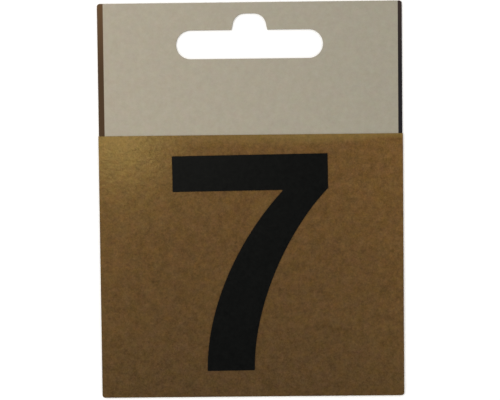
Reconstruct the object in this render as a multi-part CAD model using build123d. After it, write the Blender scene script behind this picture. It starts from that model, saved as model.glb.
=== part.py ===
from build123d import *
import math
import os

# A self-adhesive door number as it is hung up for sale: a black film digit, cut but still
# on its brown release liner, with the liner laid on the lower part of a die-cut hang card.
# Sizes are in millimetres. The stack lies on its back. X runs across the card, Y towards
# the edge it hangs from and Z up through the layers. The origin is under the card's middle.

# The digit, a 7: a level bar with a curved stem that straightens to a square foot.
digit_height = 50.0
film_thickness = 0.15
bar_length = 35.9
bar_height = 8.25      # at the left, down to the corner where the stem leaves the bar
bar_end_height = 8.0   # at the right, down to the corner where the stem's outer side starts
stem_start = 25.55     # from the bar's left end to the stem's inner corner
foot_start = 7.2       # from the bar's left end to the foot
foot_width = 10.95
knife_radius = 0.15    # the cutter's blade leaves every corner this round

# Each side of the stem rises upright from the foot and ends in a slope at its corner. A
# pull is how far the curve follows that direction before it bends.
inner_slope = 46.2     # degrees
inner_foot_pull = 14.0
inner_corner_pull = 16.2
outer_slope = 45.0     # degrees
outer_foot_pull = 15.85
outer_corner_pull = 12.55

# The digit's place on the liner
head_margin = 4.6      # liner above the bar
foot_margin = 6.2      # liner below the foot
digit_turn = 0.55      # degrees that the digit sits off square, anticlockwise

# The release liner, a sheet of silicone-coated kraft paper
liner_thickness = 0.12
liner_overhang = 0.1   # past the card at each side

# The hang card, one die-cut board
card_width = 70.0
card_thickness = 0.5
header_height = 30.4   # the part of the card above the liner
corner_radius = 0.65   # the card's corners and the liner's lower two, trimmed together

# The hang slot: a long slot with round ends and an arch in the middle of its upper side
slot_length = 33.8
slot_height = 6.6
slot_below_top = 6.3   # from the card's top edge to the slot's upper side
arch_width = 8.25      # where the arch opens into the slot
arch_height = 3.75
arch_splay = 12.0      # degrees that each side of the arch leans in
arch_radius = 2.8

# Sizes that follow from those above
liner_width = card_width + 2 * liner_overhang
liner_height = foot_margin + digit_height + head_margin
card_height = liner_height + header_height
lower_edge = -card_height / 2
upper_edge = card_height / 2


def layer(outline, base, thickness):
    """A flat sheet cut to an outline, with its underside at the height base."""
    return extrude(Pos(0, 0, base) * outline, thickness)


def hang_slot():
    """The outline of the slot and its arch, which share the card's centre line."""
    slot_middle = upper_edge - slot_below_top - slot_height / 2
    slot = Pos(0, slot_middle) * SlotOverall(slot_length, slot_height)

    arch_base = upper_edge - slot_below_top
    base_half = arch_width / 2
    top_half = base_half - arch_height * math.tan(math.radians(arch_splay))
    arch = make_face(
        Polyline(
            (-base_half, slot_middle),
            (-base_half, arch_base),
            (-top_half, arch_base + arch_height),
            (top_half, arch_base + arch_height),
            (base_half, arch_base),
            (base_half, slot_middle),
            close=True,
        )
    )
    arch_top = arch.vertices().group_by(Axis.Y)[-1]
    return slot + fillet(arch_top, arch_radius)


def hang_card():
    """The board, with its four rounded corners and the slot punched through its header."""
    board = RectangleRounded(card_width, card_height, corner_radius)
    return layer(board - hang_slot(), 0, card_thickness)


def release_liner():
    """The kraft sheet: square across the header, rounded with the card below."""
    sheet = Pos(0, lower_edge + liner_height / 2) * Rectangle(liner_width, liner_height)
    lower_corners = sheet.vertices().group_by(Axis.Y)[0]
    return layer(fillet(lower_corners, corner_radius), card_thickness, liner_thickness)


def stem_side(foot, corner, slope, foot_pull, corner_pull):
    """One side of the stem: upright at the foot, at the given slope at the corner."""
    run = math.cos(math.radians(slope)) * corner_pull
    rise = math.sin(math.radians(slope)) * corner_pull
    return Bezier(foot, foot + Vector(0, foot_pull), corner - Vector(run, rise), corner)


def digit_outline():
    """The 7, with its box centred on the origin."""
    left = -bar_length / 2
    right = bar_length / 2
    top = digit_height / 2
    bottom = -digit_height / 2
    inner_foot = Vector(left + foot_start, bottom)
    outer_foot = Vector(left + foot_start + foot_width, bottom)
    inner_corner = Vector(left + stem_start, top - bar_height)
    outer_corner = Vector(right, top - bar_end_height)

    foot = Line(inner_foot, outer_foot)
    outer_side = stem_side(outer_foot, outer_corner, outer_slope, outer_foot_pull, outer_corner_pull)
    bar = Polyline(
        outer_corner,
        (right, top),
        (left, top),
        (left, top - bar_height),
        inner_corner,
    )
    inner_side = stem_side(inner_foot, inner_corner, inner_slope, inner_foot_pull, inner_corner_pull)
    digit = make_face([foot, outer_side, bar, inner_side])
    return fillet(digit.vertices(), knife_radius)


def number_seven():
    """The film digit, in its place on top of the liner."""
    digit_middle = lower_edge + foot_margin + digit_height / 2
    placed = Pos(0, digit_middle) * Rot(0, 0, digit_turn) * digit_outline()
    return layer(placed, card_thickness + liner_thickness, film_thickness)


os.makedirs("parts", exist_ok=True)
export_step(hang_card(), "parts/hang_card.step")
export_step(release_liner(), "parts/release_liner.step")
export_step(number_seven(), "parts/number_seven.step")
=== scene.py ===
import math

import bmesh
import bpy
from mathutils import Matrix, Vector


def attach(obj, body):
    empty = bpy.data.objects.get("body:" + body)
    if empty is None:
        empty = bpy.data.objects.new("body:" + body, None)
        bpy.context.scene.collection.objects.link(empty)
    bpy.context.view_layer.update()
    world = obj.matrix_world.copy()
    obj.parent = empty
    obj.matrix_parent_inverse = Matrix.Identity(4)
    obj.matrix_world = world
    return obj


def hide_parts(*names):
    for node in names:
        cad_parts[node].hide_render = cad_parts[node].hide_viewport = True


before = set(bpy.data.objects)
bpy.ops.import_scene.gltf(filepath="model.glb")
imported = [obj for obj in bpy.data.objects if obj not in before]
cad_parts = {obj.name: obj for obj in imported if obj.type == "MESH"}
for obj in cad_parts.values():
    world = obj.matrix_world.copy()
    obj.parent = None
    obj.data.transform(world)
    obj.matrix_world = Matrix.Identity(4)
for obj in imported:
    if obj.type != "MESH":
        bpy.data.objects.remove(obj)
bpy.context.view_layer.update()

# The hang card is a thin die-cut board, and the other two pieces lie on it. Its face is
# printed: a light grey field, with dark margins left at each side. The punch leaves the
# board's own pulp showing at every cut edge, and the back has no print.
mm = 0.001                   # sizes here are in millimetres, and this turns them to metres
merge_gap = 0.001            # points of the CAD mesh that are closer than this are made one
flat_bend = 0.5              # degrees: an edge that bends less lies within a flat face,
rim_bend = 60                # and one that bends more is where the knife went through
facing = 0.9                 # a face whose normal is this upright belongs to the flat side
inked = 0.3                  # and the ink reaches over the rim to this steepness
card_cut = 0.06              # how far the punch draws the face down at a cut
field_left = -33.64          # the grey field's edges, from the card's middle,
field_right = 34.05
print_blur = 0.03            # which fade over this far to each side
fade_from = 30.0             # the margins are drawn paler from this height on the card up to its upper edge, as painted sheen on the left one
fade_to = 45.6               # up to its upper edge
ink_cloud = 1.5              # clouds where the pulp takes the ink unevenly,
ink_tint = 2.0               # spots of a faintly other hue,
ink_tooth = 0.3              # and a tooth, drawn coarser than the real one so that it shows
pulp_speck = 0.9             # flecks of the paper that the board was made from


def linear(code):
    """The linear colour of an sRGB hex code."""
    channels = [int(code[i:i + 2], 16) / 255 for i in (0, 2, 4)]
    return [c / 12.92 if c < 0.04045 else ((c + 0.055) / 1.055) ** 2.4 for c in channels] + [1]


def add(owner, kind, inputs, **settings):
    """Add a shader node with its settings, its inputs set to values or joined to other nodes."""
    tree = owner.node_tree
    node = tree.nodes.new("ShaderNode" + kind)
    for name, value in settings.items():
        setattr(node, name, value)
    for name, value in inputs.items():
        socket = next(s for s in node.inputs if s.name == name and s.enabled and not s.is_linked)
        if isinstance(value, bpy.types.Node):
            value = next(s for s in value.outputs if s.enabled)
        if isinstance(value, bpy.types.NodeSocket):
            tree.links.new(value, socket)
        else:
            socket.default_value = value
    return node


def new_finish(name):
    """A new material, and the node that gives it the piece's own place in millimetres."""
    material = bpy.data.materials.new(name)
    material.use_nodes = True
    material.node_tree.nodes.clear()
    metres = add(material, "TexCoord", {}).outputs["Object"]
    return material, add(material, "Mapping", {"Vector": metres, "Scale": (1 / mm,) * 3})


def cut_sheet(node, name, edge):
    """A copy of a flat CAD node, with its cut edges eased by a width in millimetres."""
    sheet = bmesh.new()
    sheet.from_mesh(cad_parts[node].data)
    bmesh.ops.remove_doubles(sheet, verts=sheet.verts, dist=merge_gap * mm)
    bmesh.ops.dissolve_limit(
        sheet, angle_limit=math.radians(flat_bend), verts=sheet.verts, edges=sheet.edges
    )
    rims = [e for e in sheet.edges if e.calc_face_angle(0) > math.radians(rim_bend)]
    rims = [e for e in rims if any(abs(f.normal.z) > facing for f in e.link_faces)]
    bmesh.ops.bevel(
        sheet, geom=rims, affect="EDGES", offset=edge * mm, segments=2, profile=0.5,
        material=-1, clamp_overlap=True,
    )
    mesh = bpy.data.meshes.new(name)
    sheet.to_mesh(mesh)
    sheet.free()
    piece = bpy.data.objects.new(name, mesh)
    bpy.context.scene.collection.objects.link(piece)
    return piece


card = cut_sheet("hang_card", "printed_hang_card", card_cut)

# Offset-printed board: flat ink with a fine tooth, faintly clouded by the pulp under it.
ink, place = new_finish("offset_printed_board")
field_middle = (field_left + field_right) / 2
field_half = (field_right - field_left) / 2
from_middle = add(ink, "Mapping", {"Vector": place, "Location": (-field_middle, 0, 0)})
axes = add(ink, "SeparateXYZ", {"Vector": from_middle})
outwards = add(ink, "Math", {"Value": axes.outputs["X"]}, operation="ABSOLUTE")
in_field = add(
    ink, "MapRange",
    {"Value": outwards, "From Min": field_half + print_blur, "From Max": field_half - print_blur},
)
# Painted sheen: the left margin is drawn browner than the near-black right one, and paler towards
# the card's upper edge, as if light caught its dark ink. The right margin is also drawn paler
# towards that edge.
upwards = add(
    ink, "MapRange", {"Value": axes.outputs["Y"], "From Min": fade_from, "From Max": fade_to}
)
left_ink_and_sheen = add(
    ink, "Mix", {"Factor": upwards, "A": linear("44311e"), "B": linear("5a422a")}, data_type="RGBA"
)
right_ink = add(
    ink, "Mix", {"Factor": upwards, "A": linear("181518"), "B": linear("312723")}, data_type="RGBA"
)
right_side = add(ink, "Math", {"Value": axes.outputs["X"]}, operation="SIGN", use_clamp=True)
margin = add(
    ink, "Mix", {"Factor": right_side, "A": left_ink_and_sheen, "B": right_ink}, data_type="RGBA"
)
cloud = add(
    ink, "TexNoise", {"Vector": place, "Scale": 1 / ink_cloud, "Detail": 3.0, "Roughness": 0.9}
)
# Painted shade: the grey field is drawn darker from its left edge to its right, as if the light
# fell off across it.
rightwards = add(
    ink, "MapRange",
    {"Value": axes.outputs["X"], "From Min": -field_half, "From Max": field_half},
)
thin_ink_and_shade = add(
    ink, "Mix", {"Factor": rightwards, "A": linear("aaa292"), "B": linear("a09b8b")},
    data_type="RGBA",
)
full_ink_and_shade = add(
    ink, "Mix", {"Factor": rightwards, "A": linear("978f7e"), "B": linear("8e8778")},
    data_type="RGBA",
)
even = add(ink, "Mix", {"Factor": cloud, "A": full_ink_and_shade, "B": thin_ink_and_shade}, data_type="RGBA")
tints = add(
    ink, "TexNoise", {"Vector": place, "Scale": 1 / ink_tint, "Detail": 3.0, "Roughness": 0.9}
)
field = add(
    ink, "Mix", {"Factor": 0.06, "A": even, "B": tints.outputs["Color"]}, data_type="RGBA",
    blend_type="OVERLAY",
)
face = add(ink, "Mix", {"Factor": in_field, "A": margin, "B": field}, data_type="RGBA")
tooth = add(ink, "TexNoise", {"Vector": place, "Scale": 1 / ink_tooth, "Detail": 2.0})
relief = add(ink, "Bump", {"Height": tooth, "Strength": 0.4, "Distance": 0.01 * mm})
printed = add(
    ink, "BsdfPrincipled",
    {"Base Color": face, "Roughness": 0.6, "Normal": relief, "Specular IOR Level": 0.12},
)
add(ink, "OutputMaterial", {"Surface": printed})
card.data.materials.append(ink)

# Grey-brown recycled pulp, seen at the cut edges and on the back: soft and full of specks.
pulp, place = new_finish("recycled_pulp_board")
specks = add(pulp, "TexNoise", {"Vector": place, "Scale": 1 / pulp_speck, "Detail": 4.0})
pulp_colour = add(
    pulp, "Mix", {"Factor": specks, "A": linear("6f6657"), "B": linear("8a8170")}, data_type="RGBA"
)
pulp_relief = add(pulp, "Bump", {"Height": specks, "Strength": 0.3, "Distance": 0.02 * mm})
bare = add(
    pulp, "BsdfPrincipled",
    {"Base Color": pulp_colour, "Roughness": 0.9, "Normal": pulp_relief, "Specular IOR Level": 0.2},
)
add(pulp, "OutputMaterial", {"Surface": bare})
card.data.materials.append(pulp)
for flat in card.data.polygons:
    flat.material_index = 0 if flat.normal.z > inked else 1

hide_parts("hang_card")
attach(card, "root")

# The release liner is brown kraft paper with a silicone coat, which lets the film peel off.
# It is laid on the lower part of the card and trimmed with it at its two lower corners.
liner_cut = 0.02
kraft_length = 60.8          # the sheet's length, and its middle and upper edge on the card
kraft_middle = -15.2
kraft_head = kraft_middle + kraft_length / 2
kraft_hue = 2.6              # patches of redder and greener paper,
kraft_cloud = 2.2            # and clouds where the fibres lie denser
fibre_length = 0.9           # short strands, wider than real fibres so that they show,
fibre_width = 0.3            # and laid in turn at each of these degrees
fibre_turns = (10, 55, 100, 145)
kraft_tooth = 0.9            # the coat's ripple over the fibres, drawn coarse enough to show
foot_shade_turn = 4                # degrees that the painted shade darkening the paper towards its foot leans
side_from = 19.0             # painted light: the paper is drawn paler from this far out from its middle to this far, at its left and right edges
side_to = 35.0               # to this far, at its sides
strip_from = -30.0           # a painted sheen also makes it paler in a band under its upper edge, which starts at the first of these places across it and is palest from the second on, and which is this wide but narrows to this between these two places
strip_to = 12.0              # at the first of these places across it and is palest from
strip_most = 3.3             # the second on, and which is this wide
strip_least = 1.5            # but narrows to this
narrow_from = 18.0           # between these two places
narrow_to = 30.0
liner = cut_sheet("release_liner", "kraft_release_liner", liner_cut)

# Siliconed kraft: brown fibres laid every way, clouded from olive to red, under a thin
# clear coat with a golden sheen. The cloud of fibres keeps half the weight and each way
# of the strands has an eighth, because they are mixed in by a fifth, a sixth and so on.
kraft, place = new_finish("siliconed_kraft_paper")
fibre = add(
    kraft, "TexNoise",
    {"Vector": place, "Scale": 1 / kraft_cloud, "Detail": 4.0, "Roughness": 1.0},
)
for number, turn in enumerate(fibre_turns):
    laid = add(
        kraft, "Mapping",
        {
            "Vector": place, "Location": (0, 0, turn), "Rotation": (0, 0, math.radians(turn)),
            "Scale": (fibre_length, fibre_width, 1),
        },
        vector_type="TEXTURE",
    )
    strands = add(kraft, "TexNoise", {"Vector": laid, "Scale": 1.0, "Detail": 1.0})
    share = 1 / (number + len(fibre_turns) + 1)
    fibre = add(kraft, "Mix", {"Factor": share, "A": fibre, "B": strands}, data_type="FLOAT")
hues = add(
    kraft, "TexNoise", {"Vector": place, "Scale": 1 / kraft_hue, "Detail": 2.0, "Roughness": 1.0}
)
hue = add(kraft, "SeparateColor", {"Color": hues.outputs["Color"]})
redder = add(
    kraft, "Mix", {"Factor": hue.outputs["Green"], "A": linear("865c2c"), "B": linear("845c3f")},
    data_type="RGBA",
)
greener = add(
    kraft, "Mix", {"Factor": hue.outputs["Green"], "A": linear("7b6129"), "B": linear("78613d")},
    data_type="RGBA",
)
pale = add(
    kraft, "Mix", {"Factor": hue.outputs["Red"], "A": redder, "B": greener}, data_type="RGBA"
)
density = add(
    kraft, "MapRange",
    {"Value": fibre, "From Min": 0.31, "From Max": 0.69, "To Min": 0.78, "To Max": 0.02},
)
brown = add(
    kraft, "Mix", {"Factor": density, "A": pale, "B": linear("2c1c0c")}, data_type="RGBA"
)
# Painted shade: the paper is drawn darker towards its foot, as if less light fell there.
along = add(
    kraft, "Mapping",
    {
        "Vector": place, "Location": (0, 0.5 - kraft_middle / kraft_length, 0),
        "Rotation": (0, 0, math.radians(foot_shade_turn)), "Scale": (1 / kraft_length,) * 3,
    },
)
headwards = add(kraft, "SeparateXYZ", {"Vector": along})
painted_foot_shade = add(
    kraft, "Mix",
    {"Factor": headwards.outputs["Y"], "A": linear("ced5e7"), "B": linear("ffffff")},
    data_type="RGBA",
)
foot_shaded = add(
    kraft, "Mix", {"Factor": 1.0, "A": brown, "B": painted_foot_shade}, data_type="RGBA",
    blend_type="MULTIPLY",
)
across = add(kraft, "SeparateXYZ", {"Vector": place})
# Painted light: the paper is drawn darker in its middle and paler towards its left and right edges,
# as if more light fell there.
sidewards = add(kraft, "Math", {"Value": across.outputs["X"]}, operation="ABSOLUTE")
outermost = add(
    kraft, "MapRange", {"Value": sidewards, "From Min": side_from, "From Max": side_to}
)
painted_side_light = add(
    kraft, "Mix", {"Factor": outermost, "A": linear("f3f3fa"), "B": linear("ffffff")},
    data_type="RGBA",
)
side_lit = add(
    kraft, "Mix", {"Factor": 1.0, "A": foot_shaded, "B": painted_side_light}, data_type="RGBA",
    blend_type="MULTIPLY",
)
# Painted sheen: a band under the paper's upper edge is drawn paler and yellower, as if its edge
# caught the light.
strip_share = add(
    kraft, "MapRange",
    {"Value": across.outputs["X"], "From Min": strip_from, "From Max": strip_to, "To Max": 0.12},
)
strip_foot = add(
    kraft, "MapRange",
    {
        "Value": across.outputs["X"], "From Min": narrow_from, "From Max": narrow_to,
        "To Min": kraft_head - strip_most, "To Max": kraft_head - strip_least,
    },
)
strip = add(
    kraft, "MapRange",
    {
        "Value": across.outputs["Y"], "From Min": strip_foot, "From Max": kraft_head,
        "To Max": strip_share,
    },
    interpolation_type="SMOOTHSTEP",
)
sheen_edged = add(
    kraft, "Mix", {"Factor": strip, "A": side_lit, "B": linear("bbab60")}, data_type="RGBA"
)
ripple = add(kraft, "TexNoise", {"Vector": place, "Scale": 1 / kraft_tooth, "Detail": 2.0})
kraft_relief = add(kraft, "Bump", {"Height": ripple, "Strength": 1.0, "Distance": 0.018 * mm})
coated = add(
    kraft, "BsdfPrincipled",
    {
        "Base Color": sheen_edged, "Roughness": 0.19, "Normal": kraft_relief,
        "Specular IOR Level": 0.18, "Specular Tint": linear("fff6a6"),
    },
)
add(kraft, "OutputMaterial", {"Surface": coated})
liner.data.materials.append(kraft)

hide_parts("release_liner")
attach(liner, "root")

# The number is die-cut from matte black vinyl film with a coat of adhesive on its back,
# which holds it to the liner until it is peeled off and pressed onto a door.
film_cut = 0.03
vinyl_grain = 1.2            # slight clouds in the film's black
seven = cut_sheet("number_seven", "vinyl_number_seven", film_cut)

# Matte black vinyl: an even, fine-grained face with a soft sheen at its cut edge.
vinyl, place = new_finish("matte_black_vinyl")
grain = add(
    vinyl, "TexNoise", {"Vector": place, "Scale": 1 / vinyl_grain, "Detail": 3.0, "Roughness": 1.0}
)
mottle = add(vinyl, "MapRange", {"Value": grain, "From Min": 0.28, "From Max": 0.72})
black = add(
    vinyl, "Mix", {"Factor": mottle, "A": linear("020303"), "B": linear("0c0d0c")}, data_type="RGBA"
)
vinyl_relief = add(vinyl, "Bump", {"Height": grain, "Strength": 0.3, "Distance": 0.01 * mm})
film = add(
    vinyl, "BsdfPrincipled",
    {"Base Color": black, "Roughness": 0.4, "Normal": vinyl_relief, "Specular IOR Level": 0.06},
)
add(vinyl, "OutputMaterial", {"Surface": film})
seven.data.materials.append(vinyl)

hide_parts("number_seven")
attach(seven, "root")

# The card lies on a plain white table that glows faintly, so that no shadow rims it, in a
# white tent. The tent is open overhead where the camera looks in, so that the dark film
# and print have little to reflect.
floor_half = 3000.0
floor_drop = 0.01            # below the card's back, so that the two don't share a plane
floor_mesh = bmesh.new()
bmesh.ops.create_grid(
    floor_mesh, x_segments=1, y_segments=1, size=floor_half * mm,
    matrix=Matrix.Translation((0, 0, -floor_drop * mm)),
)
floor_data = bpy.data.meshes.new("studio_floor")
floor_mesh.to_mesh(floor_data)
floor_mesh.free()
floor = bpy.data.objects.new("studio_floor", floor_data)
bpy.context.scene.collection.objects.link(floor)
acrylic, _ = new_finish("backlit_white_acrylic")
glowing = add(
    acrylic, "BsdfPrincipled",
    {
        "Base Color": linear("fafafa"), "Roughness": 0.95, "Specular IOR Level": 0.1,
        "Emission Color": linear("ffffff"), "Emission Strength": 0.1,
    },
)
add(acrylic, "OutputMaterial", {"Surface": glowing})
floor.data.materials.append(acrylic)

# The lining takes its light from how high a direction points: 0 is level and 1 overhead.
# It glows most half-way up, and dims towards the table and the opening.
world = bpy.data.worlds.new("studio_tent")
bpy.context.scene.world = world
world.use_nodes = True
world.node_tree.nodes.clear()
height = add(world, "SeparateXYZ", {"Vector": add(world, "TexCoord", {}).outputs["Generated"]})
tent = add(
    world, "MapRange",
    {
        "Value": height.outputs["Z"], "From Min": 0.6, "From Max": 0.95,
        "To Min": 1.53, "To Max": 0.295,
    },
)
horizon = add(
    world, "MapRange",
    {"Value": height.outputs["Z"], "From Min": 0.0, "From Max": 0.4, "To Min": 0.4, "To Max": 0.8},
)
lining = add(world, "Background", {"Color": horizon, "Strength": tent})
add(world, "OutputWorld", {"Surface": lining})


def soft_lamp(name, at, aim, side, watts, colour):
    """A square lamp of the given side, turned to a point and out of the camera's sight."""
    lamp = bpy.data.lights.new(name, "AREA")
    lamp.shape = "SQUARE"
    lamp.size = side * mm
    lamp.energy = watts
    lamp.color = linear(colour)[:3]
    light = bpy.data.objects.new(name, lamp)
    light.location = Vector(at) * mm
    light.rotation_mode = "QUATERNION"
    light.rotation_quaternion = (Vector(aim) - Vector(at)).to_track_quat("-Z", "Y")
    light.visible_camera = False
    bpy.context.scene.collection.objects.link(light)


# The key lamp stands past the card's upper left corner. The small one hangs where the
# liner's coat mirrors it to the camera, which gives the paper its sheen on that side.
soft_lamp(
    "key_lamp", at=(-150, 120, 420), aim=(0, 10, 0), side=160, watts=0.66, colour="fffdf8"
)
soft_lamp(
    "sheen_lamp", at=(-61, 18, 273), aim=(-30, 15, 0), side=25, watts=0.044, colour="fff0d0"
)

# The camera looks almost straight down at the card through a long lens, turned a little
# with the card as it lies in the photograph.
bpy.context.scene.view_settings.view_transform = "Standard"
camera_place = Vector((2.1, 11.63, 273.0)) * mm
camera_aim = Vector((-0.27, 0.16, 0.62)) * mm
camera_roll = math.radians(-0.62)
lens = bpy.data.cameras.new("studio_camera")
lens.lens = 85
lens.sensor_width = 36
camera = bpy.data.objects.new("studio_camera", lens)
forward = (camera_aim - camera_place).normalized()
right = forward.cross(Vector((0, 1, 0))).normalized()
up = right.cross(forward)
turned_right = right * math.cos(camera_roll) + up * math.sin(camera_roll)
turned_up = up * math.cos(camera_roll) - right * math.sin(camera_roll)
turn = Matrix((turned_right, turned_up, -forward)).transposed()
camera.matrix_world = Matrix.Translation(camera_place) @ turn.to_4x4()
bpy.context.scene.collection.objects.link(camera)
bpy.context.scene.camera = camera
